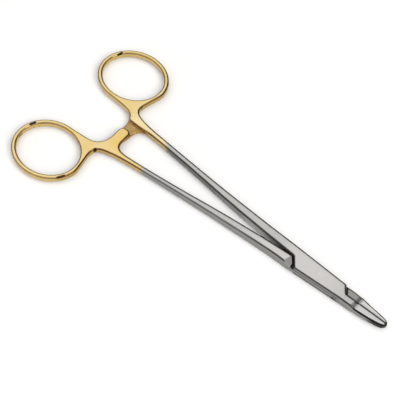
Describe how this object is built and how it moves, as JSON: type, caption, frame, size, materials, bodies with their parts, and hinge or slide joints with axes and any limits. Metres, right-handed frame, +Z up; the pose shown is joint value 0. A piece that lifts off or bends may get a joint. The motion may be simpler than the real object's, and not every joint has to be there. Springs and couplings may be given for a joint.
{
  "type": "needle holder",
  "caption": "Surgical needle holder with finger-ring handles, tapering shanks, a ratchet between the handles, a flush box-lock hinge and short blunt grooved jaws.",
  "frame": {"origin": "centre of the footprint with the jaws closed, on the lowest plane, which is the flat underside of the box lock", "axes": "+X along the instrument from the finger rings to the jaw tip, +Y across it towards the ring of the slotted (female) half, +Z up, across the thickness"},
  "size_m": [0.16, 0.0754, 0.0044],
  "materials": {
    "female_steel": "satin stainless steel, gold-plated from the finger ring to about a fifth of the way down the shank",
    "male_steel": "satin stainless steel, gold-plated from the finger ring to about a fifth of the way down the shank",
    "pin_steel": "satin, ground flush",
    "insert_female_carbide": "matte sintered carbide, cross-grooved on the gripping face",
    "insert_male_carbide": "matte sintered carbide, cross-grooved on the gripping face"
  },
  "bodies": {
    "female_side": {"female_half": "female_steel", "pivot_pin": "pin_steel", "insert_female": "insert_female_carbide"},
    "male_side": {"male_half": "male_steel", "insert_male": "insert_male_carbide"}
  },
  "joints": [
    {"name": "box_lock_pivot", "type": "hinge", "parent": "female_side", "child": "male_side", "pos_m": [0.051, 0, 0.0022], "axis": [0, 0, 1], "range_deg": [0, 55]}
  ]
}
